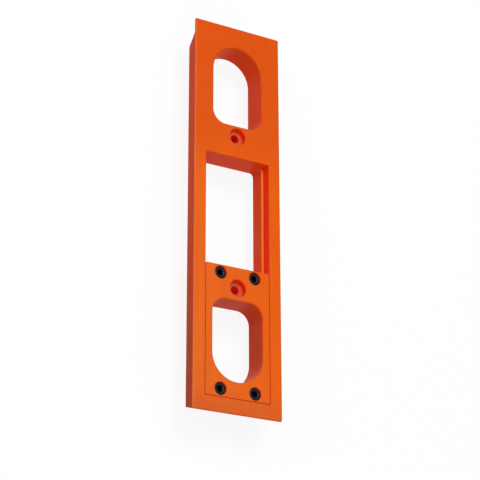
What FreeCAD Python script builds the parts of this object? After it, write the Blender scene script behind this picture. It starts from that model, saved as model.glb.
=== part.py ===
"""Door hinge jig: a routing template with an arched slot, a ledged window and a screwed insert plate.

X runs across the width, Y along the length towards the arched end, and Z out of the front face.
The jig lies on its two rear pads, so Z = 0 is the plane that the pads rest on. Depths are
measured down from the front face. All sizes are in millimetres.
"""

import FreeCAD, Part
import math
import os

# Overall sizes
LENGTH = 230.0
WIDTH = 55.0
DEPTH = 25.0
OUTLINE_CORNER_R = 1.0
FRONT_EDGE_R = 0.7

# Depths of the moulding's steps
SKIN_DEPTH = 1.2
EDGE_DEPTH = 8.5
CORE_DEPTH = 15.0

# Thin tongue at the arched end, and the slopes of the thick section's two ends
TONGUE_LENGTH = 9.0
TONGUE_RUN_OUT_DEG = 46.0
BOTTOM_BEVEL_DEG = 19.0

# Core behind the thick section, concentric with the upper slot at its arched end
CORE_INSET = 5.2
BACK_EDGE_CHAMFER = 0.8

# Slots with one straight and one half-round end
SLOT_WIDTH = 31.2
SLOT_CORNER_R = 8.0
SLOT_EASE = 0.6

# Small ease on the front edges of the other openings and of the plate
EDGE_EASE = 0.25

# Steps along the length from the arched end down to the pocket
TOP_TO_SLOT_ARC = 28.7
UPPER_SLOT_ARC_TO_FLAT = 33.3
UPPER_SLOT_TO_FIXING = 6.6
FIXING_TO_POCKET = 13.0

# Steps along the length from the bevelled end up to the plate's top
BOTTOM_TO_POCKET = 8.3
POCKET_TO_SLOT_ARC = 25.1
LOWER_SLOT_ARC_TO_FLAT = 30.3
LOWER_SLOT_TO_FIXING = 7.1
FIXING_TO_PLATE_TOP = 12.0

# Pocket for the insert plate, with a window and its ledges above the plate
POCKET_WIDTH = 40.4
POCKET_DEPTH = 6.0
LEDGE_WIDTH = 1.5
WINDOW_CORNER_R = 2.5

# Insert plate
PLATE_CLEARANCE = 0.25
PLATE_CORNER_R = 0.5

# Counterbored holes that fix the jig to the work
FIXING_HOLE_R = 2.5
COUNTERBORE_R = 5.0
COUNTERBORE_DEPTH = 3.5

# Cap screws that hold the plate
SCREW_SPACING_X = 21.4
SCREW_FROM_PLATE_TOP = 4.4
SCREW_FROM_POCKET_BOTTOM = 4.7
HEAD_R = 3.4
HEAD_HEIGHT = 4.0
HEAD_CHAMFER = 0.35
HEAD_BELOW_FACE = 0.8
HEAD_CLEARANCE = 0.25
SHANK_R = 1.95
SHANK_LENGTH = 8.0
SHANK_TIP_CHAMFER = 0.5
SHANK_CLEARANCE = 0.3
SOCKET_FLATS = 3.0
SOCKET_DEPTH = 2.0
SOCKET_LEAD_IN = 0.25

# Threaded bushes in the core
BUSH_R = 2.8
BUSH_WAIST_R = 2.5
BUSH_LENGTH = 6.0
BUSH_BAND = 2.0
THREAD_GAP = 0.05
BUSH_FIT = 0.05
BUSH_HOLE_SPARE = 1.2

# Rear pads that the jig rests on
PAD_WIDTH = 27.0
PAD_CORNER_R = 2.0
UPPER_PAD_LENGTH = 11.0
LOWER_PAD_LENGTH = 8.0
LOWER_PAD_GAP = 1.4

# Places along Y that follow from the steps
TOP_Y = LENGTH / 2
BOTTOM_Y = -LENGTH / 2
UPPER_SLOT_ARC_Y = TOP_Y - TOP_TO_SLOT_ARC
UPPER_SLOT_FLAT_Y = UPPER_SLOT_ARC_Y - UPPER_SLOT_ARC_TO_FLAT
FIXING_UPPER_Y = UPPER_SLOT_FLAT_Y - UPPER_SLOT_TO_FIXING
POCKET_TOP_Y = FIXING_UPPER_Y - FIXING_TO_POCKET
POCKET_BOTTOM_Y = BOTTOM_Y + BOTTOM_TO_POCKET
LOWER_SLOT_ARC_Y = POCKET_BOTTOM_Y + POCKET_TO_SLOT_ARC
LOWER_SLOT_FLAT_Y = LOWER_SLOT_ARC_Y + LOWER_SLOT_ARC_TO_FLAT
FIXING_LOWER_Y = LOWER_SLOT_FLAT_Y + LOWER_SLOT_TO_FIXING
PLATE_TOP_Y = FIXING_LOWER_Y + FIXING_TO_PLATE_TOP

SLOT_R = SLOT_WIDTH / 2


def point(x, y, z=0.0):
    """Return a FreeCAD vector."""
    return FreeCAD.Vector(x, y, z)


def line(start, end):
    """Return a straight edge."""
    return Part.LineSegment(start, end).toShape()


def arc(start, middle, end):
    """Return the arc through three points."""
    return Part.Arc(start, middle, end).toShape()


def rounded_rectangle(x_min, y_min, x_max, y_max, radius):
    """Return a rectangular face of the XY plane with four round corners."""
    cut = radius * (1 - math.sqrt(0.5))
    edges = [
        line(point(x_min + radius, y_min), point(x_max - radius, y_min)),
        arc(point(x_max - radius, y_min), point(x_max - cut, y_min + cut), point(x_max, y_min + radius)),
        line(point(x_max, y_min + radius), point(x_max, y_max - radius)),
        arc(point(x_max, y_max - radius), point(x_max - cut, y_max - cut), point(x_max - radius, y_max)),
        line(point(x_max - radius, y_max), point(x_min + radius, y_max)),
        arc(point(x_min + radius, y_max), point(x_min + cut, y_max - cut), point(x_min, y_max - radius)),
        line(point(x_min, y_max - radius), point(x_min, y_min + radius)),
        arc(point(x_min, y_min + radius), point(x_min + cut, y_min + cut), point(x_min + radius, y_min)),
    ]
    return Part.Face(Part.Wire(edges))


def arched_face(half_width, flat_y, arc_y, radius):
    """Return a face with a straight, round-cornered end at flat_y and a half circle about arc_y."""
    way = math.copysign(1.0, arc_y - flat_y)
    cut = radius * (1 - math.sqrt(0.5))
    inner = half_width - radius
    side_y = flat_y + way * radius
    bend_y = flat_y + way * cut
    edges = [
        line(point(-inner, flat_y), point(inner, flat_y)),
        arc(point(inner, flat_y), point(half_width - cut, bend_y), point(half_width, side_y)),
        line(point(half_width, side_y), point(half_width, arc_y)),
        arc(point(half_width, arc_y), point(0, arc_y + way * half_width), point(-half_width, arc_y)),
        line(point(-half_width, arc_y), point(-half_width, side_y)),
        arc(point(-half_width, side_y), point(cut - half_width, bend_y), point(-inner, flat_y)),
    ]
    return Part.Face(Part.Wire(edges))


def sunk(face, start, end):
    """Extrude a face of the XY plane between two depths below the front face."""
    base = face.copy()
    base.translate(point(0, 0, DEPTH - end))
    return base.extrude(point(0, 0, end - start))


def side_profile(corners):
    """Extrude a closed (y, depth) profile over the whole width."""
    points = [point(-WIDTH / 2, y, DEPTH - depth) for y, depth in corners]
    face = Part.Face(Part.makePolygon(points + points[:1]))
    return face.extrude(point(WIDTH, 0, 0))


def bore(radius, x, y, start, end):
    """Return a cylinder along Z between two depths."""
    return Part.makeCylinder(radius, end - start, point(x, y, DEPTH - end))


def edges_at_depth(solid, depth):
    """Return the edges of a solid that lie wholly at one depth."""
    level = DEPTH - depth
    return [e for e in solid.Edges if abs(e.BoundBox.ZMin - level) + abs(e.BoundBox.ZMax - level) < 1e-6]


def in_slot(edge, flat_y, arc_y):
    """Tell whether an edge lies in one slot or in the ease round it."""
    end_y = arc_y + math.copysign(SLOT_R, arc_y - flat_y)
    margin = SLOT_EASE + 1e-6
    box = edge.BoundBox
    return (
        box.XMax < SLOT_R + margin
        and box.YMin > min(flat_y, end_y) - margin
        and box.YMax < max(flat_y, end_y) + margin
    )


def on_outline(edge):
    """Tell whether an edge lies on the rim of the front face."""
    centre = edge.CenterOfMass
    return min(WIDTH / 2 - abs(centre.x), LENGTH / 2 - abs(centre.y)) < OUTLINE_CORNER_R


def eased(solid, flat_y, arc_y):
    """Chamfer the front edges of a slot, and more lightly those of the other openings."""
    rim = [e for e in edges_at_depth(solid, 0) if in_slot(e, flat_y, arc_y)]
    solid = solid.makeChamfer(SLOT_EASE, rim)
    others = [e for e in edges_at_depth(solid, 0) if not in_slot(e, flat_y, arc_y) and not on_outline(e)]
    return solid.makeChamfer(EDGE_EASE, others)


def bevel_y(depth):
    """Return where the bevelled bottom end lies at one depth."""
    return BOTTOM_Y + (depth - SKIN_DEPTH) * math.tan(math.radians(BOTTOM_BEVEL_DEG))


def outline():
    """Return the outline of the front face."""
    return rounded_rectangle(-WIDTH / 2, BOTTOM_Y, WIDTH / 2, TOP_Y, OUTLINE_CORNER_R)


def front_skin():
    """Return the thin skin that carries the front face and its rounded rim."""
    skin = sunk(outline(), 0, SKIN_DEPTH)
    return skin.makeFillet(FRONT_EDGE_R, edges_at_depth(skin, 0))


def thick_section():
    """Return the full-width section between the bevelled end and the run-out to the tongue."""
    slope = math.tan(math.radians(TONGUE_RUN_OUT_DEG))
    top_y = TOP_Y - TONGUE_LENGTH
    wedge = side_profile([
        (BOTTOM_Y, SKIN_DEPTH),
        (top_y, SKIN_DEPTH),
        (top_y - (EDGE_DEPTH - SKIN_DEPTH) * slope, EDGE_DEPTH),
        (bevel_y(EDGE_DEPTH), EDGE_DEPTH),
    ])
    section = wedge.common(sunk(outline(), SKIN_DEPTH, EDGE_DEPTH))
    long_edges = [e for e in edges_at_depth(section, EDGE_DEPTH) if e.BoundBox.XLength < 1e-6]
    return section.makeChamfer(BACK_EDGE_CHAMFER, long_edges)


def core():
    """Return the inset core that gives the openings their full wall depth."""
    half_width = WIDTH / 2 - CORE_INSET
    arched = sunk(arched_face(half_width, BOTTOM_Y, UPPER_SLOT_ARC_Y, OUTLINE_CORNER_R), SKIN_DEPTH, CORE_DEPTH)
    wedge = side_profile([
        (BOTTOM_Y, SKIN_DEPTH),
        (TOP_Y, SKIN_DEPTH),
        (TOP_Y, CORE_DEPTH),
        (bevel_y(CORE_DEPTH), CORE_DEPTH),
    ])
    block = arched.common(wedge)
    return block.makeChamfer(BACK_EDGE_CHAMFER, edges_at_depth(block, CORE_DEPTH))


def pad(y_min, y_max):
    """Return one rear pad between the core and the rest plane."""
    face = rounded_rectangle(-PAD_WIDTH / 2, y_min, PAD_WIDTH / 2, y_max, PAD_CORNER_R)
    block = sunk(face, CORE_DEPTH, DEPTH)
    return block.makeChamfer(BACK_EDGE_CHAMFER, edges_at_depth(block, DEPTH))


def upper_pad():
    """Return the pad round the upper fixing hole."""
    return pad(FIXING_UPPER_Y - UPPER_PAD_LENGTH / 2, FIXING_UPPER_Y + UPPER_PAD_LENGTH / 2)


def lower_pad():
    """Return the pad under the bottom rail, just clear of the lower slot."""
    y_max = LOWER_SLOT_ARC_Y - SLOT_R - LOWER_PAD_GAP
    return pad(y_max - LOWER_PAD_LENGTH, y_max)


def slot_cutter(flat_y, arc_y):
    """Return the cutter of one arched slot."""
    return sunk(arched_face(SLOT_R, flat_y, arc_y, SLOT_CORNER_R), 0, DEPTH)


def fixing_cutter(y):
    """Return the cutter of one counterbored fixing hole."""
    hole = bore(FIXING_HOLE_R, 0, y, 0, DEPTH)
    return hole.fuse(bore(COUNTERBORE_R, 0, y, 0, COUNTERBORE_DEPTH))


def pocket_cutter():
    """Return the cutter of the plate's pocket, with square corners."""
    width = POCKET_WIDTH
    length = POCKET_TOP_Y - POCKET_BOTTOM_Y
    return Part.makeBox(width, length, POCKET_DEPTH, point(-width / 2, POCKET_BOTTOM_Y, DEPTH - POCKET_DEPTH))


def window_cutter():
    """Return the cutter of the window above the plate, narrower than the pocket by two ledges."""
    half_width = POCKET_WIDTH / 2 - LEDGE_WIDTH
    face = rounded_rectangle(-half_width, PLATE_TOP_Y, half_width, POCKET_TOP_Y, WINDOW_CORNER_R)
    return sunk(face, POCKET_DEPTH, DEPTH)


def screw_places():
    """Return a name and a place for each screw."""
    rows = {"top": PLATE_TOP_Y - SCREW_FROM_PLATE_TOP, "bottom": POCKET_BOTTOM_Y + SCREW_FROM_POCKET_BOTTOM}
    sides = {"left": -SCREW_SPACING_X / 2, "right": SCREW_SPACING_X / 2}
    return {f"{row}_{side}": (x, y) for row, y in rows.items() for side, x in sides.items()}


def template_body():
    """Return the orange moulding."""
    body = front_skin().multiFuse([thick_section(), core(), upper_pad(), lower_pad()]).removeSplitter()
    cutters = [
        slot_cutter(UPPER_SLOT_FLAT_Y, UPPER_SLOT_ARC_Y),
        slot_cutter(LOWER_SLOT_FLAT_Y, LOWER_SLOT_ARC_Y),
        pocket_cutter(),
        window_cutter(),
        fixing_cutter(FIXING_UPPER_Y),
        fixing_cutter(FIXING_LOWER_Y),
    ]
    bush_end = POCKET_DEPTH + BUSH_LENGTH + BUSH_HOLE_SPARE
    cutters += [bore(BUSH_R + BUSH_FIT, x, y, POCKET_DEPTH, bush_end) for x, y in screw_places().values()]
    return eased(body.cut(cutters).removeSplitter(), UPPER_SLOT_FLAT_Y, UPPER_SLOT_ARC_Y)


def insert_plate():
    """Return the flush plate that fills the lower part of the pocket."""
    half_width = POCKET_WIDTH / 2 - PLATE_CLEARANCE
    bottom_y = POCKET_BOTTOM_Y + PLATE_CLEARANCE
    face = rounded_rectangle(-half_width, bottom_y, half_width, PLATE_TOP_Y, PLATE_CORNER_R)
    cutters = [slot_cutter(LOWER_SLOT_FLAT_Y, LOWER_SLOT_ARC_Y), fixing_cutter(FIXING_LOWER_Y)]
    for x, y in screw_places().values():
        cutters.append(bore(HEAD_R + HEAD_CLEARANCE, x, y, 0, HEAD_BELOW_FACE + HEAD_HEIGHT))
        cutters.append(bore(SHANK_R + SHANK_CLEARANCE, x, y, 0, POCKET_DEPTH))
    return eased(sunk(face, 0, POCKET_DEPTH).cut(cutters), LOWER_SLOT_FLAT_Y, LOWER_SLOT_ARC_Y)


def revolved(profile):
    """Turn the half profile through these points of the XZ plane about the Z axis."""
    face = Part.Face(Part.makePolygon(profile + profile[:1]))
    return face.revolve(point(0, 0, 0), point(0, 0, 1), 360)


def screw_blank():
    """Return a screw's head and shank about the Z axis, with its head seat at Z = 0."""
    profile = [
        point(0, 0, HEAD_HEIGHT),
        point(HEAD_R - HEAD_CHAMFER, 0, HEAD_HEIGHT),
        point(HEAD_R, 0, HEAD_HEIGHT - HEAD_CHAMFER),
        point(HEAD_R, 0, 0),
        point(SHANK_R, 0, 0),
        point(SHANK_R, 0, SHANK_TIP_CHAMFER - SHANK_LENGTH),
        point(SHANK_R - SHANK_TIP_CHAMFER, 0, -SHANK_LENGTH),
        point(0, 0, -SHANK_LENGTH),
    ]
    return revolved(profile)


def socket_cutter():
    """Return the hexagon socket with its lead-in cone and its drilled tip."""
    corner_r = SOCKET_FLATS / math.sqrt(3)
    floor = HEAD_HEIGHT - SOCKET_DEPTH
    corners = [
        point(corner_r * math.cos(math.radians(60 * i)), corner_r * math.sin(math.radians(60 * i)), floor)
        for i in range(7)
    ]
    hexagon = Part.Face(Part.makePolygon(corners)).extrude(point(0, 0, SOCKET_DEPTH))
    lead_in = Part.makeCone(
        corner_r - SOCKET_LEAD_IN, corner_r + SOCKET_LEAD_IN, 2 * SOCKET_LEAD_IN,
        point(0, 0, HEAD_HEIGHT - SOCKET_LEAD_IN),
    )
    tip_depth = SOCKET_FLATS / 2 * math.tan(math.radians(31))
    tip = Part.makeCone(0, SOCKET_FLATS / 2, tip_depth, point(0, 0, floor - tip_depth))
    return hexagon.multiFuse([lead_in, tip])


def cap_screw(x, y):
    """Return one cap screw, seated on the plate's recess."""
    screw = screw_blank().cut(socket_cutter())
    screw.translate(point(x, y, DEPTH - HEAD_BELOW_FACE - HEAD_HEIGHT))
    return screw


def threaded_bush(x, y):
    """Return one bush with two gripping bands and a waist, flush with the pocket's floor."""
    inner = SHANK_R + THREAD_GAP
    slope = BUSH_R - BUSH_WAIST_R
    profile = [
        point(inner, 0, 0),
        point(BUSH_R, 0, 0),
        point(BUSH_R, 0, -BUSH_BAND),
        point(BUSH_WAIST_R, 0, -BUSH_BAND - slope),
        point(BUSH_WAIST_R, 0, BUSH_BAND + slope - BUSH_LENGTH),
        point(BUSH_R, 0, BUSH_BAND - BUSH_LENGTH),
        point(BUSH_R, 0, -BUSH_LENGTH),
        point(inner, 0, -BUSH_LENGTH),
    ]
    bush = revolved(profile)
    bush.translate(point(x, y, DEPTH - POCKET_DEPTH))
    return bush


def single_solid(shape):
    """Return the one solid of a finished shape."""
    return shape.Solids[0] if len(shape.Solids) == 1 else shape


def main():
    """Build every piece and write one STEP file for each."""
    pieces = {"template_body": template_body(), "insert_plate": insert_plate()}
    for name, (x, y) in screw_places().items():
        pieces[f"cap_screw_{name}"] = cap_screw(x, y)
        pieces[f"threaded_bush_{name}"] = threaded_bush(x, y)
    os.makedirs("parts", exist_ok=True)
    for name, shape in pieces.items():
        single_solid(shape).exportStep(f"parts/{name}.step")
        print(name, len(shape.Solids), shape.isValid(), round(shape.Volume, 1))


main()
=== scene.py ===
"""The looks of the door hinge jig: orange plastic, black cap screws and turned brass bushes.

Every length is in metres and every place is in the jig's own frame: X across the width, Y along
the length towards the arched end, Z out of the front face, with the rear pads resting on Z = 0.
"""

import logging
import math
from dataclasses import dataclass, field
from enum import Enum
from typing import Any, Callable, Sequence, Union

import bpy
import numpy as np
from mathutils import Matrix, Vector

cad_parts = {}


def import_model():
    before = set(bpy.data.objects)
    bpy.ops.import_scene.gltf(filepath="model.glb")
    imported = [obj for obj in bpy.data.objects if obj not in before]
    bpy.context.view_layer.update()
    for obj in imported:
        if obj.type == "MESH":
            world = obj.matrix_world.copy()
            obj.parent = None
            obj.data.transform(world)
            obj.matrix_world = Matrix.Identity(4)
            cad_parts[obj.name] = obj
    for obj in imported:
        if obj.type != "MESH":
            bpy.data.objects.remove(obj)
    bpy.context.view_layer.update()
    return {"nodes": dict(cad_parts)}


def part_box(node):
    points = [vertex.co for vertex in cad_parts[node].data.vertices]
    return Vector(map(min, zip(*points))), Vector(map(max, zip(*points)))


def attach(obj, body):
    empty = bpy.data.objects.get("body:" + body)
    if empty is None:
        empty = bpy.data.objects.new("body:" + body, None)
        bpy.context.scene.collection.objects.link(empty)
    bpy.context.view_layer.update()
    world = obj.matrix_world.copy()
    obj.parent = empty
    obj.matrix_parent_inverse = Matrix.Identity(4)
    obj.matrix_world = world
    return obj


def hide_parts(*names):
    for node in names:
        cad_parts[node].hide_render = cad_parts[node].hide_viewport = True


LOG = logging.getLogger("door_hinge_jig")
MM = 0.001
EASE = 0.5 * MM
ROOT = "root"
WHITE = (1.0, 1.0, 1.0, 1.0)
BEVEL_SAMPLES = 6

Colour = tuple[float, float, float, float]
Triple = tuple[float, float, float]
Span = tuple[float, float]
Shaper = Callable[[np.ndarray, np.ndarray, np.ndarray], np.ndarray]


class Slot(Enum):
    """The material slots that the record names."""

    PLASTIC = "orange_plastic"
    STEEL = "black_steel"
    BRASS = "brass"


class Signal:
    """A shader socket that can stand in a Python expression."""

    def __init__(self, bench: "NodeBench", socket: bpy.types.NodeSocket | None) -> None:
        """Wrap one output socket of a node tree."""
        self.bench = bench
        self.socket = socket

    def _math(self, operation: str, *values: "Value") -> "Signal":
        """Add a Math node that works on the given values in their order."""
        return self.bench.add("ShaderNodeMath", {"operation": operation}, dict(enumerate(values)))

    def __add__(self, other: "Value") -> "Signal":
        """Return self + other."""
        return self._math("ADD", self, other)

    __radd__ = __add__

    def __sub__(self, other: "Value") -> "Signal":
        """Return self - other."""
        return self._math("SUBTRACT", self, other)

    def __rsub__(self, other: "Value") -> "Signal":
        """Return other - self."""
        return self._math("SUBTRACT", other, self)

    def __mul__(self, other: "Value") -> "Signal":
        """Return self * other."""
        return self._math("MULTIPLY", self, other)

    __rmul__ = __mul__

    def size(self) -> "Signal":
        """Return the signal without its sign."""
        return self._math("ABSOLUTE", self)

    def clamp(self) -> "Signal":
        """Return the signal held between 0 and 1."""
        settings = {"operation": "ADD", "use_clamp": True}
        return self.bench.add("ShaderNodeMath", settings, {0: self, 1: 0.0})

    def step(self, low: float, high: float) -> "Signal":
        """Return 0 below low, 1 above high and a smooth rise between them."""
        inputs = {"Value": self, "From Min": low, "From Max": high}
        return self.bench.add("ShaderNodeMapRange", {"interpolation_type": "SMOOTHSTEP"}, inputs)

    def near(self, centre: float, reach: float, ease: float = EASE) -> "Signal":
        """Return 1 up to this reach from a centre and 0 from the ease beyond it."""
        return 1 - (self - centre).size().step(reach, reach + ease)


Value = Union[Signal, float, Sequence[float]]


class NodeBench:
    """One material's node tree, with one method that adds any node."""

    def __init__(self, name: str) -> None:
        """Make an empty material.

        Args:
            name: The material's name.
        """
        self.material = bpy.data.materials.new(name)
        self.material.use_nodes = True
        self.tree = self.material.node_tree
        self.tree.nodes.clear()

    def add(
        self,
        kind: str,
        settings: dict[str, Any] | None = None,
        inputs: dict[int | str, Value] | None = None,
        output: int | str = 0,
    ) -> Signal:
        """Add a node.

        Args:
            kind: The node's type.
            settings: Its properties, set before its sockets.
            inputs: Values or signals by socket name or number.
            output: The output socket that is returned.

        Returns:
            The chosen output as a signal, which is empty where the node has no output.
        """
        node = self.tree.nodes.new(kind)
        for key, value in (settings or {}).items():
            setattr(node, key, value)
        for key, value in (inputs or {}).items():
            if isinstance(value, Signal):
                self.tree.links.new(value.socket, node.inputs[key])
            else:
                node.inputs[key].default_value = value
        return Signal(self, node.outputs[output] if len(node.outputs) else None)

    def place(self) -> Signal:
        """Return the object coordinates."""
        return self.add("ShaderNodeTexCoord", output="Object")

    def across(self, axis: str) -> Signal:
        """Return the place along one axis of the object coordinates."""
        return self.add("ShaderNodeSeparateXYZ", {}, {"Vector": self.place()}, output=axis)

    def upward(self) -> Signal:
        """Return how far a surface faces the front: 1 on the face, 0 on an upright wall."""
        normal = self.add("ShaderNodeTexCoord", output="Normal")
        return self.add("ShaderNodeSeparateXYZ", {}, {"Vector": normal}, output="Z")

    def stretched(self, scale: Sequence[float]) -> Signal:
        """Return the object coordinates, scaled axis by axis."""
        return self.add("ShaderNodeMapping", {}, {"Vector": self.place(), "Scale": scale})

    def noise(self, scale: float, detail: float, place: Signal | None = None) -> Signal:
        """Return a noise from 0 to 1 with this many features per metre."""
        inputs = {"Vector": place or self.place(), "Scale": scale, "Detail": detail}
        return self.add("ShaderNodeTexNoise", {}, inputs)

    def blend(self, factor: Value, first: Value, second: Value) -> Signal:
        """Return a colour between two others: the first at 0, the second at 1."""
        # The Mix node keeps its colours on inputs 6 and 7 and output 2.
        inputs = {0: factor, 6: first, 7: second}
        return self.add("ShaderNodeMix", {"data_type": "RGBA"}, inputs, output=2)

    def rounded(self, radius: float) -> Signal:
        """Return a normal that looks as if every edge had this radius."""
        return self.add("ShaderNodeBevel", {"samples": BEVEL_SAMPLES}, {"Radius": radius})

    def bump(self, height: Signal, distance: float, normal: Signal | None = None) -> Signal:
        """Return a normal that follows a height.

        Args:
            height: The height from 0 to 1.
            distance: How far a height of 1 stands out.
            normal: The normal under it.

        Returns:
            The new normal.
        """
        inputs: dict[int | str, Value] = {"Height": height, "Distance": distance, "Strength": 1.0}
        if normal is not None:
            inputs["Normal"] = normal
        return self.add("ShaderNodeBump", {}, inputs)

    def finish(self, **sockets: Value) -> bpy.types.Material:
        """Close the tree with a Principled shader.

        Args:
            sockets: The shader's inputs, with an underscore for each space.

        Returns:
            The finished material.
        """
        inputs = {key.replace("_", " "): value for key, value in sockets.items()}
        shader = self.add("ShaderNodeBsdfPrincipled", {}, inputs)
        self.add("ShaderNodeOutputMaterial", {}, {"Surface": shader})
        return self.material


@dataclass(frozen=True)
class Pattern:
    """Places that lie evenly on both sides of the jig's middle plane and of one line across it."""

    side: float
    middle: float
    spread: float

    def around(self, bench: NodeBench, reach: float, ease: float = EASE) -> Signal:
        """Return 1 in a square of this reach round each place and 0 from the ease beyond it.

        Args:
            bench: The material's node tree.
            reach: Half the square's side.
            ease: How far the mask takes to fade.

        Returns:
            The mask.
        """
        beside = bench.across("X").size().near(self.side, reach, ease)
        from_middle = (bench.across("Y") - self.middle).size()
        return beside * from_middle.near(self.spread, reach, ease)


FIXING_HOLES = Pattern(side=0.0, middle=1.1 * MM, spread=45.3 * MM)
CAP_SCREWS = Pattern(side=10.7 * MM, middle=-69.3 * MM, spread=32.7 * MM)


@dataclass(frozen=True)
class MouldedPlastic:
    """Satin orange plastic from a finely spark-eroded mould.

    Each run is a pair of places along the jig between which one colour turns into another, and
    each turn is a pair of values of how far the surface faces the front.
    """

    # Painted light on the face: deeper at the arched end, brighter low on the right, a painted
    # sheen on the left and painted shade at the foot.
    colour: Colour = (0.700, 0.085, 0.0004, 1.0)
    right_lit_colour: Colour = (0.800, 0.112, 0.0002, 1.0)
    left_sheen_colour: Colour = (0.785, 0.150, 0.0150, 1.0)
    foot_shade_colour: Colour = (0.670, 0.124, 0.0190, 1.0)
    arch_run: Span = (15 * MM, 55 * MM)
    foot_run: Span = (-114 * MM, -100 * MM)
    slant_run: Span = (-75 * MM, 25 * MM)
    slant: float = 0.4

    deep_colour: Colour = (0.735, 0.090, 0.0018, 1.0)
    flow_width: float = 6.25 * MM
    flow_length: float = 60 * MM
    flow_detail: float = 2.0
    flow_range: Span = (0.35, 0.75)
    flow_share: float = 0.35

    pale_colour: Colour = (0.800, 0.120, 0.0050, 1.0)
    bloom_pitch: float = 45 * MM
    bloom_detail: float = 2.0
    bloom_range: Span = (0.45, 0.8)
    bloom_share: float = 0.25

    # Painted light on the walls: a redder painted bounce, with painted shade darker towards the
    # foot.
    bounce_lit_wall_colour: Colour = (0.800, 0.061, 0.0016, 1.0)
    shaded_low_wall_colour: Colour = (0.690, 0.055, 0.0016, 1.0)
    wall_run: Span = (-50 * MM, -35 * MM)
    # Painted shade on the outer strip, darker still towards the foot.
    shaded_strip_colour: Colour = (0.600, 0.051, 0.0030, 1.0)
    shaded_low_strip_colour: Colour = (0.425, 0.042, 0.0030, 1.0)
    strip_run: Span = (-110 * MM, -15 * MM)
    # Painted bounce light: the pocket, fixing holes and screws' recesses are a more vivid red.
    bounce_lit_pocket_colour: Colour = (0.970, 0.034, 0.0002, 1.0)
    # Painted light on the pocket's ledge, paler where the wall beside it shades it.
    lit_ledge_colour: Colour = (0.800, 0.185, 0.0200, 1.0)
    # Painted shade with a pale sheen on the counterbore floors.
    shaded_recess_colour: Colour = (0.625, 0.106, 0.0390, 1.0)
    # Painted highlight along the rounded long edges.
    rim_highlight_colour: Colour = (0.740, 0.170, 0.0560, 1.0)

    outer_side: float = 27.5 * MM
    pocket_side: float = 20.2 * MM
    pocket_end: float = -106.7 * MM
    pocket_top: float = 33.4 * MM
    pocket_floor: float = 19.0 * MM
    bore_floor: float = 21.5 * MM
    bore_reach: float = 5.0 * MM
    screw_reach: float = 3.8 * MM
    wall_reach: float = 0.5 * MM

    wall_turn: Span = (0.15, 0.85)
    floor_turn: Span = (0.5, 0.9)
    rim_start: Span = (0.05, 0.3)
    rim_stop: Span = (0.75, 0.98)

    roughness: float = 0.46
    grain_roughness: float = 0.12
    flow_roughness: float = 0.08
    grain_pitch: float = 0.45 * MM
    grain_detail: float = 3.0
    grain_height: float = 0.012 * MM
    edge_radius: float = 0.5 * MM
    ior: float = 1.5
    specular: float = 0.10
    glow_depth: float = 1.8 * MM
    glow_share: float = 0.4
    glow_spread: Triple = (1.0, 0.12, 0.05)

    def lit_ground(self, bench: NodeBench) -> Signal:
        """Return the face's colour with painted light: deeper at the arched end, brighter low on
        the right, a painted sheen on the left and painted shade, darker and paler, at the foot.

        Args:
            bench: The material's node tree.

        Returns:
            The colour, without streaks and bloom.
        """
        along = bench.across("Y")
        slanted = bench.across("X") + along * self.slant
        # Painted sheen on the left and brighter painted light on the right.
        lower = bench.blend(slanted.step(*self.slant_run), self.left_sheen_colour, self.right_lit_colour)
        body = bench.blend(along.step(*self.arch_run), lower, self.colour)
        # Painted shade at the foot.
        return bench.blend(1 - along.step(*self.foot_run), body, self.foot_shade_colour)

    def face(self, bench: NodeBench, streaks: Signal) -> Signal:
        """Return the face's colour with its flow streaks and its paler bloom.

        Args:
            bench: The material's node tree.
            streaks: The streaks, from 0 to 1.

        Returns:
            The colour.
        """
        bloom = bench.noise(1 / self.bloom_pitch, self.bloom_detail)
        flow = streaks.step(*self.flow_range) * self.flow_share
        mottled = bench.blend(flow, self.lit_ground(bench), self.deep_colour)
        paler = bloom.step(*self.bloom_range) * self.bloom_share
        return bench.blend(paler, mottled, self.pale_colour)

    def pocket_walls(self, bench: NodeBench) -> Signal:
        """Return 1 on the pocket's walls and 0 on every other wall at the same X or Y.

        Args:
            bench: The material's node tree.

        Returns:
            The mask: the planes of the pocket's sides and lower end, inside the box that it fills.
        """
        off_centre = bench.across("X").size()
        along = bench.across("Y")
        side = off_centre.near(self.pocket_side, self.wall_reach)
        end = along.near(self.pocket_end, self.wall_reach)
        middle = (self.pocket_top + self.pocket_end) / 2
        reach = (self.pocket_top - self.pocket_end) / 2
        shallow = bench.across("Z").step(self.pocket_floor - EASE, self.pocket_floor)
        inside = off_centre.near(0.0, self.pocket_side) * along.near(middle, reach) * shallow
        return (side + end).clamp() * inside

    def walls(self, bench: NodeBench) -> Signal:
        """Return the colour of the upright faces.

        They carry painted light: a redder painted bounce, painted shade that darkens them towards
        the foot and on the outer strip, and a more vivid painted bounce in the pocket, the fixing
        holes and the screws' recesses.

        Args:
            bench: The material's node tree.

        Returns:
            The colour.
        """
        along = bench.across("Y")
        outside = bench.across("X").size().near(self.outer_side, self.wall_reach)
        # Painted bounce on the openings' walls, with painted shade towards the foot.
        opening = bench.blend(along.step(*self.wall_run), self.shaded_low_wall_colour, self.bounce_lit_wall_colour)
        # Painted shade on the outer strip.
        strip = bench.blend(along.step(*self.strip_run), self.shaded_low_strip_colour, self.shaded_strip_colour)
        plain = bench.blend(outside, opening, strip)
        bores = FIXING_HOLES.around(bench, self.bore_reach)
        recesses = CAP_SCREWS.around(bench, self.screw_reach)
        # Painted bounce light in the pocket, the fixing holes and the screws' recesses.
        bounce_lit = (self.pocket_walls(bench) + bores + recesses).clamp()
        return bench.blend(bounce_lit, plain, self.bounce_lit_pocket_colour)

    def sunk(self, bench: NodeBench, upward: Signal, floor: float) -> Signal:
        """Return 1 on a floor at this height."""
        return upward.step(*self.floor_turn) * bench.across("Z").near(floor, self.wall_reach)

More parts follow.
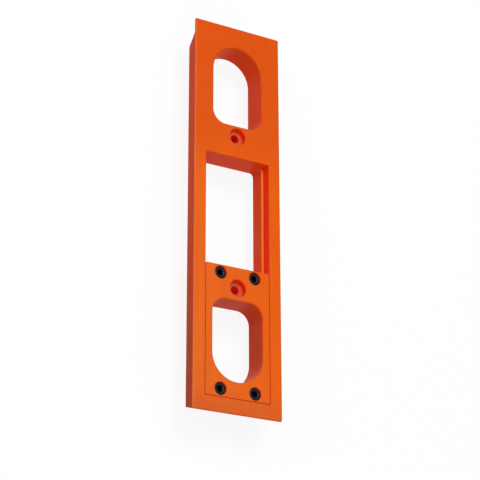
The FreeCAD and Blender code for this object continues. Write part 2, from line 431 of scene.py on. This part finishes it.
    def highlight_rim(self, bench: NodeBench, upward: Signal) -> Signal:
        """Return 1 on the rounded long edges, where a painted highlight lies."""
        turning = upward.step(*self.rim_start) * (1 - upward.step(*self.rim_stop))
        return turning * bench.across("X").size().near(self.outer_side, self.wall_reach)

    def material(self, name: str) -> bpy.types.Material:
        """Build the material.

        Args:
            name: The material's name.

        Returns:
            Orange plastic with a fine grain, slow flow streaks and a paler bloom, with painted
            light: a painted sheen and painted shade along the face, a redder painted bounce and
                painted shade on the
            walls, painted light and shade on the floors and a painted highlight on the rims.
        """
        bench = NodeBench(name)
        grain = bench.noise(1 / self.grain_pitch, self.grain_detail)
        flow = bench.stretched((1 / self.flow_width, 1 / self.flow_length, 1 / self.flow_width))
        streaks = bench.noise(1.0, self.flow_detail, flow)
        upward = bench.upward()
        ledge = self.sunk(bench, upward, self.pocket_floor)
        recess = self.sunk(bench, upward, self.bore_floor)
        face = self.face(bench, streaks)
        sided = bench.blend(upward.step(*self.wall_turn), self.walls(bench), face)
        # Painted light on the pocket's ledge.
        ledged = bench.blend(ledge, sided, self.lit_ledge_colour)
        # Painted shade with a pale sheen on the counterbore floors.
        floored = bench.blend(recess, ledged, self.shaded_recess_colour)
        # Painted highlight along the rounded long edges.
        colour = bench.blend(self.highlight_rim(bench, upward), floored, self.rim_highlight_colour)
        rough = (grain - 0.5) * self.grain_roughness + (streaks - 0.5) * self.flow_roughness
        normal = bench.bump(grain, self.grain_height, bench.rounded(self.edge_radius))
        return bench.finish(
            Base_Color=colour,
            Roughness=self.roughness + rough,
            Normal=normal,
            IOR=self.ior,
            Specular_IOR_Level=self.specular,
            Subsurface_Weight=self.glow_share,
            Subsurface_Radius=self.glow_spread,
            Subsurface_Scale=self.glow_depth,
        )


@dataclass(frozen=True)
class BlackOxide:
    """Blackened steel with a thin film of oil."""

    colour: Colour = (0.0052, 0.0066, 0.0150, 1.0)
    rubbed_colour: Colour = (0.020, 0.027, 0.048, 1.0)
    patch_pitch: float = 0.5 * MM
    patch_detail: float = 4.0
    patch_range: Span = (0.5, 0.8)
    patch_height: float = 0.004 * MM
    roughness: float = 0.36
    patch_roughness: float = 0.2
    metal_share: float = 0.55
    ior: float = 1.6

    # Painted shade in the sockets, with the thick oil that stays there.
    socket_shade_colour: Colour = (0.0020, 0.0016, 0.0030, 1.0)
    socket_reach: float = 1.9 * MM
    socket_ease: float = 0.1 * MM
    socket_floor: Span = (20.5 * MM, 20.7 * MM)
    socket_mouth: Span = (24.0 * MM, 24.15 * MM)

    def in_socket(self, bench: NodeBench) -> Signal:
        """Return 1 inside the four hexagon sockets: painted shade, with a thick film of oil.

        Args:
            bench: The material's node tree.

        Returns:
            The mask, which leaves out the head's top and the shank below the socket.
        """
        height = bench.across("Z")
        deep = height.step(*self.socket_floor) * (1 - height.step(*self.socket_mouth))
        return CAP_SCREWS.around(bench, self.socket_reach, self.socket_ease) * deep

    def material(self, name: str) -> bpy.types.Material:
        """Build the material.

        Args:
            name: The material's name.

        Returns:
            Near-black steel with slightly rubbed patches and sockets blackened by painted shade and
            oil.
        """
        bench = NodeBench(name)
        patches = bench.noise(1 / self.patch_pitch, self.patch_detail)
        socket = self.in_socket(bench)
        rubbed = bench.blend(patches.step(*self.patch_range), self.colour, self.rubbed_colour)
        return bench.finish(
            # Painted shade and oil blacken the sockets.
            Base_Color=bench.blend(socket, rubbed, self.socket_shade_colour),
            Roughness=self.roughness + (patches - 0.5) * self.patch_roughness,
            Metallic=self.metal_share + socket * (1 - self.metal_share),
            Normal=bench.bump(patches, self.patch_height),
            IOR=self.ior,
        )


@dataclass(frozen=True)
class TurnedBrass:
    """Bright brass with the fine rings that a lathe leaves."""

    colour: Colour = (0.72, 0.49, 0.19, 1.0)
    tarnish: Colour = (0.46, 0.27, 0.09, 1.0)
    stain_pitch: float = 1.5 * MM
    stain_detail: float = 3.0
    stain_range: Span = (0.5, 0.8)
    stain_share: float = 0.5
    ring_pitch: float = 0.12 * MM
    ring_wander: float = 25 * MM
    ring_detail: float = 1.0
    ring_height: float = 0.004 * MM
    roughness: float = 0.27
    stain_roughness: float = 0.15

    def material(self, name: str) -> bpy.types.Material:
        """Build the material.

        Args:
            name: The material's name.

        Returns:
            Brass with rings along the axis and a light tarnish.
        """
        bench = NodeBench(name)
        wander = 1 / self.ring_wander
        turned = bench.stretched((wander, wander, 1 / self.ring_pitch))
        rings = bench.noise(1.0, self.ring_detail, turned)
        stain = bench.noise(1 / self.stain_pitch, self.stain_detail)
        dulled = stain.step(*self.stain_range) * self.stain_share
        return bench.finish(
            Base_Color=bench.blend(dulled, self.colour, self.tarnish),
            Roughness=self.roughness + stain * self.stain_roughness,
            Metallic=1.0,
            Normal=bench.bump(rings, self.ring_height),
        )


@dataclass(frozen=True)
class PaleFloor:
    """A matt floor that is seen as white, apart from the jig's shadow, and lights the jig less."""

    colour: Colour = (0.68, 0.68, 0.68, 1.0)
    seen_colour: Colour = (0.98, 0.98, 0.98, 1.0)
    seen_lift: float = 0.90
    roughness: float = 0.85
    grain_pitch: float = 2 * MM
    grain_detail: float = 3.0
    grain_height: float = 0.01 * MM

    def material(self, name: str) -> bpy.types.Material:
        """Build the material.

        Args:
            name: The material's name.

        Returns:
            Card that is near-white and lifted towards white for camera, mirror and glass rays, and
            pale grey for all others.
        """
        bench = NodeBench(name)
        grain = bench.noise(1 / self.grain_pitch, self.grain_detail)
        seen = bench.add("ShaderNodeLightPath", output="Is Camera Ray")
        mirrored = bench.add("ShaderNodeLightPath", output="Is Glossy Ray")
        through = bench.add("ShaderNodeLightPath", output="Is Transmission Ray")
        looked_at = (seen + mirrored + through).clamp()
        sockets = {
            "Base Color": bench.blend(looked_at, self.colour, self.seen_colour),
            "Roughness": self.roughness,
            "Normal": bench.bump(grain, self.grain_height),
        }
        card = bench.add("ShaderNodeBsdfPrincipled", {}, sockets)
        glow = bench.add("ShaderNodeEmission", {}, {"Color": WHITE, "Strength": 1.0})
        layers = {0: looked_at * self.seen_lift, 1: card, 2: glow}
        mixed = bench.add("ShaderNodeMixShader", {}, layers)
        bench.add("ShaderNodeOutputMaterial", {}, {"Surface": mixed})
        return bench.material


def smooth_object(name: str, vertices: np.ndarray, faces: list[list[int]]) -> bpy.types.Object:
    """Make a smooth-shaded object.

    Args:
        name: The object's name.
        vertices: Its points, by three.
        faces: Each face's point numbers, anticlockwise seen from outside.

    Returns:
        The object, linked to the scene.
    """
    mesh = bpy.data.meshes.new(name)
    mesh.from_pydata(vertices.tolist(), [], faces)
    mesh.update()
    mesh.polygons.foreach_set("use_smooth", np.ones(len(mesh.polygons), bool))
    piece = bpy.data.objects.new(name, mesh)
    bpy.context.scene.collection.objects.link(piece)
    return piece


def bands(upper: np.ndarray, lower: np.ndarray) -> list[list[int]]:
    """Return the four-sided faces between each ring of point numbers and the ring below it."""
    sides = [upper, lower, np.roll(lower, -1, 1), np.roll(upper, -1, 1)]
    return np.stack(sides, -1).reshape(-1, 4).tolist()


def capped_object(name: str, points: np.ndarray) -> bpy.types.Object:
    """Make a closed surface from rings of points.

    The surface is a function of turn and row. Neighbouring points of a ring and neighbouring rings
    are joined by four-sided faces, and the first and last rings are closed by a fan to their
    middle.

    Args:
        name: The object's name.
        points: An array of rings by points by three, each ring anticlockwise seen from above, from
            the top ring inwards and down to the last ring.

    Returns:
        The object, smooth-shaded and linked to the scene.
    """
    rows, turns, _ = points.shape
    index = np.arange(rows * turns).reshape(rows, turns)
    first, last = rows * turns, rows * turns + 1
    top_fan = np.stack([np.full(turns, first), index[0], np.roll(index[0], -1)], -1)
    end_fan = np.stack([np.full(turns, last), np.roll(index[-1], -1), index[-1]], -1)
    middles = np.stack([points[0].mean(0), points[-1].mean(0)])
    vertices = np.concatenate([points.reshape(-1, 3), middles])
    faces = bands(index[:-1], index[1:]) + top_fan.tolist() + end_fan.tolist()
    return smooth_object(name, vertices, faces)


def ring_object(name: str, points: np.ndarray) -> bpy.types.Object:
    """Make a closed ring-shaped surface whose last row is its first row.

    The surface is a function of turn and row, and the rows close on themselves as the turns do.

    Args:
        name: The object's name.
        points: An array of rings by points by three, with the same ring first and last.

    Returns:
        The object, smooth-shaded and linked to the scene.
    """
    rows, turns, _ = points[:-1].shape
    index = np.arange(rows * turns).reshape(rows, turns)
    return smooth_object(name, points[:-1].reshape(-1, 3), bands(index, np.roll(index, -1, 0)))


@dataclass
class Profile:
    """A half section as rows of radius and height, from its first row round to its last."""

    radii: list[float] = field(default_factory=list)
    heights: list[float] = field(default_factory=list)

    def start(self, radius: float, height: float) -> "Profile":
        """Begin at a point."""
        self.radii, self.heights = [radius], [height]
        return self

    def to(self, radius: float, height: float, rows: int = 1) -> "Profile":
        """Run straight to a new point.

        Args:
            radius: The new point's radius.
            height: Its height.
            rows: How many rows the run takes.

        Returns:
            The profile.
        """
        start_r, start_z = self.radii[-1], self.heights[-1]
        share = np.arange(1, rows + 1) / rows
        self.radii += list(start_r + (radius - start_r) * share)
        self.heights += list(start_z + (height - start_z) * share)
        return self

    def round_to(self, radius: float, height: float, rows: int = 5) -> "Profile":
        """Turn a quarter ellipse to a new point, out and then down.

        The radius goes by the sine and the height by one less the cosine of a quarter turn.

        Args:
            radius: The new point's radius.
            height: Its height.
            rows: How many rows the turn takes.

        Returns:
            The profile.
        """
        start_r, start_z = self.radii[-1], self.heights[-1]
        angle = np.arange(1, rows + 1) / rows * math.pi / 2
        self.radii += list(start_r + (radius - start_r) * np.sin(angle))
        self.heights += list(start_z + (height - start_z) * (1 - np.cos(angle)))
        return self

    def swept(self, turns: int, shape: Shaper) -> np.ndarray:
        """Turn the section about the Z axis.

        Each point is (r cos a, r sin a, z), where a runs round the axis and the shape function
        changes the radius r by angle and height.

        Args:
            turns: Points in each ring.
            shape: Gives the radius from arrays of angle, radius and height.

        Returns:
            Rings by turns by three.
        """
        angle = np.linspace(0, 2 * math.pi, turns, endpoint=False)[None, :]
        radius = np.array(self.radii)[:, None] + 0 * angle
        height = np.array(self.heights)[:, None] + 0 * angle
        radius = shape(angle + 0 * radius, radius, height)
        return np.stack([radius * np.cos(angle), radius * np.sin(angle), height], -1)


@dataclass
class CapScrew:
    """A hexagon socket cap screw with a knurled head and a rolled thread."""

    node: str
    turns: int = 144

    head_r: float = 3.4 * MM
    head_height: float = 4.0 * MM
    edge_r: float = 0.4 * MM
    seat_chamfer: float = 0.25 * MM
    seat_edge: float = 0.3 * MM

    socket_flats: float = 3.0 * MM
    socket_depth: float = 2.0 * MM
    lead_in: float = 0.22 * MM
    drill_depth: float = 0.75 * MM
    drill_tip_r: float = 0.15 * MM
    drill_share: float = 0.93
    floor_lift: float = 0.01 * MM

    knurl_depth: float = 0.07 * MM
    knurl_ribs: int = 36
    knurl_low: float = 0.35 * MM
    knurl_gap: float = 0.15 * MM

    shank_r: float = 1.95 * MM
    neck: float = 0.2 * MM
    neck_length: float = 0.25 * MM
    point: float = 0.5 * MM
    thread_pitch: float = 0.7 * MM
    thread_depth: float = 0.36 * MM
    thread_start: float = 0.3 * MM
    thread_runout: float = 1.0 * MM
    thread_slope: float = 1.25
    thread_crest: float = 0.1
    rows_per_pitch: int = 10

    def section(self, length: float) -> Profile:
        """Return the half section from the socket's floor over the head to the tip.

        The third number of each run is how many rows it takes.

        Args:
            length: The shank's length under the head.

        Returns:
            The section, with Z = 0 where the head seats.
        """
        top, edge = self.head_height, self.head_height - self.edge_r
        floor = top - self.socket_depth
        hexagon_r = self.socket_flats / 2
        mouth_r = self.socket_flats / math.sqrt(3) + self.lead_in
        line = Profile().start(self.drill_tip_r, floor - self.drill_depth)
        line.to(hexagon_r * self.drill_share, floor, 4).to(hexagon_r, floor + self.floor_lift)
        line.to(hexagon_r, top - self.lead_in, 6).to(mouth_r, top, 2)
        line.to(self.head_r - self.edge_r, top, 4).round_to(self.head_r, edge)
        line.to(self.head_r, self.seat_edge, 12).to(self.head_r - self.seat_chamfer, 0.0, 2)
        line.to(self.shank_r + self.neck, 0.0, 2).to(self.shank_r, -self.neck_length, 3)
        threaded = length - self.neck_length - self.point
        rows = int(threaded / self.thread_pitch * self.rows_per_pitch)
        line.to(self.shank_r, self.point - length, rows)
        return line.to(self.shank_r - self.point, -length, 4)

    def radius(self, angle: np.ndarray, radius: np.ndarray, height: np.ndarray) -> np.ndarray:
        """Shape the socket, the knurl and the thread.

        Inside the socket the radius is flats / 2 over the cosine of the angle from the nearest
        flat's middle. The knurl takes a rounded rib pattern off the head's side. The thread is a
        triangle wave of height plus turn.

        Args:
            angle: The turn of each point.
            radius: Its radius on the section.
            height: Its height.

        Returns:
            The new radius.
        """
        flat = np.mod(angle + math.pi / 6, math.pi / 3) - math.pi / 6
        hexagon = self.socket_flats / 2 / np.cos(flat)
        in_socket = np.isclose(radius, self.socket_flats / 2) & (height > 0)
        radius = np.where(in_socket, hexagon, radius)
        knurled = np.isclose(radius, self.head_r) & (height > self.knurl_low)
        knurled &= height < self.head_height - self.edge_r - self.knurl_gap
        ribs = np.abs(np.sin(angle * self.knurl_ribs / 2))
        radius = np.where(knurled, self.head_r - self.knurl_depth * (1 - ribs), radius)
        wave = np.abs(2 * np.mod(height / self.thread_pitch - angle / (2 * math.pi), 1.0) - 1)
        groove = np.clip(self.thread_slope * wave - self.thread_crest, 0, 1)
        fade = np.clip(-(height + self.thread_start) / self.thread_runout, 0, 1)
        threaded = height < -self.thread_start
        return radius - np.where(threaded, fade * self.thread_depth * groove, 0)

    def build(self, finish: bpy.types.Material) -> bpy.types.Object:
        """Make the screw where its CAD node is.

        Args:
            finish: The material.

        Returns:
            The finished piece.
        """
        low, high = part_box(self.node)
        length = high.z - low.z - self.head_height
        points = self.section(length).swept(self.turns, self.radius)
        seat = high.z - self.head_height
        points += np.array([(low.x + high.x) / 2, (low.y + high.y) / 2, seat])
        piece = capped_object(f"{self.node}_dressed", points)
        piece.data.materials.append(finish)
        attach(piece, ROOT)
        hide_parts(self.node)
        LOG.info("%s: shank %.1f mm", piece.name, length / MM)
        return piece


@dataclass
class ThreadedBush:
    """A brass bush with two cross-knurled bands and a waist."""

    node: str
    turns: int = 144
    bore_r: float = 2.0 * MM
    band: float = 2.0 * MM
    waist_r: float = 2.5 * MM
    chamfer: float = 0.1 * MM
    knurl_depth: float = 0.12 * MM
    knurl_ribs: int = 24
    knurl_lean: float = 0.9 * MM

    def section(self, outer_r: float, length: float) -> Profile:
        """Return the closed section from the bore's lower edge up, over and round to its start.

        The third number of each run is how many rows it takes.

        Args:
            outer_r: The bands' radius.
            length: The bush's length.

        Returns:
            The section, with Z = 0 at the bush's top.
        """
        slope = outer_r - self.waist_r
        chamfer = self.chamfer
        line = Profile().start(self.bore_r, -length).to(self.bore_r, 0.0, 20)
        line.to(outer_r - chamfer, 0.0, 2).to(outer_r, -chamfer).to(outer_r, -self.band, 10)
        line.to(self.waist_r, -self.band - slope, 2)
        line.to(self.waist_r, self.band + slope - length, 3)
        line.to(outer_r, self.band - length, 2).to(outer_r, chamfer - length, 10)
        return line.to(outer_r - chamfer, -length).to(self.bore_r, -length, 2)

    def build(self, finish: bpy.types.Material) -> bpy.types.Object:
        """Make the bush where its CAD node is.

        The cross knurl is the product of two rib waves that lean opposite ways.

        Args:
            finish: The material.

        Returns:
            The finished piece.
        """
        low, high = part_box(self.node)
        outer_r = (high.x - low.x) / 2

        def radius(angle: np.ndarray, base: np.ndarray, height: np.ndarray) -> np.ndarray:
            """Cut the knurl into the rows that lie on a band.

            Args:
                angle: The turn of each point.
                base: Its radius on the section.
                height: Its height.

            Returns:
                The new radius.
            """
            rib = angle * self.knurl_ribs / 2
            lean = height / self.knurl_lean
            ribs = np.abs(np.sin(rib + lean) * np.sin(rib - lean))
            return base - np.where(np.isclose(base, outer_r), self.knurl_depth * (1 - ribs), 0)

        points = self.section(outer_r, high.z - low.z).swept(self.turns, radius)
        points += np.array([(low.x + high.x) / 2, (low.y + high.y) / 2, high.z])
        piece = ring_object(f"{self.node}_dressed", points)
        piece.data.materials.append(finish)
        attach(piece, ROOT)
        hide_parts(self.node)
        LOG.info("%s: %d rows", piece.name, len(points))
        return piece


@dataclass
class Moulding:
    """The orange body and the plate in its pocket, whose CAD shapes stay."""

    nodes: tuple[str, ...] = ("template_body", "insert_plate")

    def dress(self, finish: bpy.types.Material) -> None:
        """Give the moulded nodes their finish.

        Args:
            finish: The material.
        """
        for name in self.nodes:
            mesh = bpy.data.objects[name].data
            mesh.materials.clear()
            mesh.materials.append(finish)
            LOG.info("%s: dressed", name)


@dataclass
class Lamp:
    """One soft square lamp aimed at the jig."""

    name: str
    position: Triple
    side: float
    power: float
    aim: Triple = (0.0, 0.0, 0.01)

    def build(self) -> None:
        """Hang the lamp."""
        data = bpy.data.lights.new(self.name, "AREA")
        data.shape = "SQUARE"
        data.size = self.side
        data.energy = self.power
        lamp = bpy.data.objects.new(self.name, data)
        lamp.location = self.position
        ray = Vector(self.aim) - Vector(self.position)
        lamp.rotation_euler = ray.to_track_quat("-Z", "Y").to_euler()
        bpy.context.scene.collection.objects.link(lamp)


@dataclass
class Studio:
    """The floor, the light and the camera."""

    floor_side: float = 12.0
    sky_strength: float = 0.32
    camera_place: Triple = (-0.44010, -0.35955, 0.77167)
    camera_aim: Triple = (0.00125, -0.01565, 0.025)
    camera_up: Triple = (-0.1859, 0.92959, 0.31827)
    sensor_mm: float = 36.0
    lens_mm: float = 127.5
    clip: Span = (0.01, 50.0)
    lamps: tuple[Lamp, ...] = (
        Lamp("key", (-0.14, 0.50, 1.40), side=0.8, power=14.7),
        Lamp("fill", (0.00, -0.90, 0.55), side=0.6, power=2.0),
        Lamp("left", (-0.90, 0.00, 0.35), side=0.5, power=1.3),
    )

    def floor(self) -> None:
        """Lay the floor under the pads."""
        side = self.floor_side / 2
        mesh = bpy.data.meshes.new("floor")
        square = [(-side, -side, 0.0), (side, -side, 0.0), (side, side, 0.0), (-side, side, 0.0)]
        mesh.from_pydata(square, [], [(0, 1, 2, 3)])
        mesh.materials.append(PaleFloor().material("pale_floor"))
        floor = bpy.data.objects.new("floor", mesh)
        bpy.context.scene.collection.objects.link(floor)

    def sky(self) -> None:
        """Light the room evenly."""
        world = bpy.data.worlds.new("room")
        world.use_nodes = True
        background = world.node_tree.nodes["Background"]
        background.inputs["Color"].default_value = WHITE
        background.inputs["Strength"].default_value = self.sky_strength
        bpy.context.scene.world = world

    def camera(self) -> None:
        """Place the camera at the photograph's viewpoint."""
        data = bpy.data.cameras.new("viewpoint")
        data.sensor_width = self.sensor_mm
        data.lens = self.lens_mm
        data.clip_start, data.clip_end = self.clip
        back = (Vector(self.camera_place) - Vector(self.camera_aim)).normalized()
        right = Vector(self.camera_up).cross(back).normalized()
        up = back.cross(right)
        camera = bpy.data.objects.new("viewpoint", data)
        turn = Matrix((right, up, back)).transposed().to_4x4()
        camera.matrix_world = Matrix.Translation(self.camera_place) @ turn
        bpy.context.scene.collection.objects.link(camera)
        bpy.context.scene.camera = camera

    def build(self) -> None:
        """Set up the whole studio."""
        self.floor()
        self.sky()
        for lamp in self.lamps:
            lamp.build()
        self.camera()
        bpy.context.scene.view_settings.view_transform = "Standard"
        LOG.info("studio: %d lamps", len(self.lamps))


def main() -> None:
    """Load the frame, dress each piece and set up the studio."""
    logging.basicConfig(level=logging.INFO, format="%(message)s")
    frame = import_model()
    Studio().build()
    plastic = MouldedPlastic().material(Slot.PLASTIC.value)
    steel = BlackOxide().material("black_oxide_steel")
    brass = TurnedBrass().material("turned_brass")
    Moulding().dress(plastic)
    for node in sorted(frame["nodes"]):
        if node.startswith("cap_screw"):
            CapScrew(node).build(steel)
        elif node.startswith("threaded_bush"):
            ThreadedBush(node).build(brass)


if __name__ == "__main__":
    main()
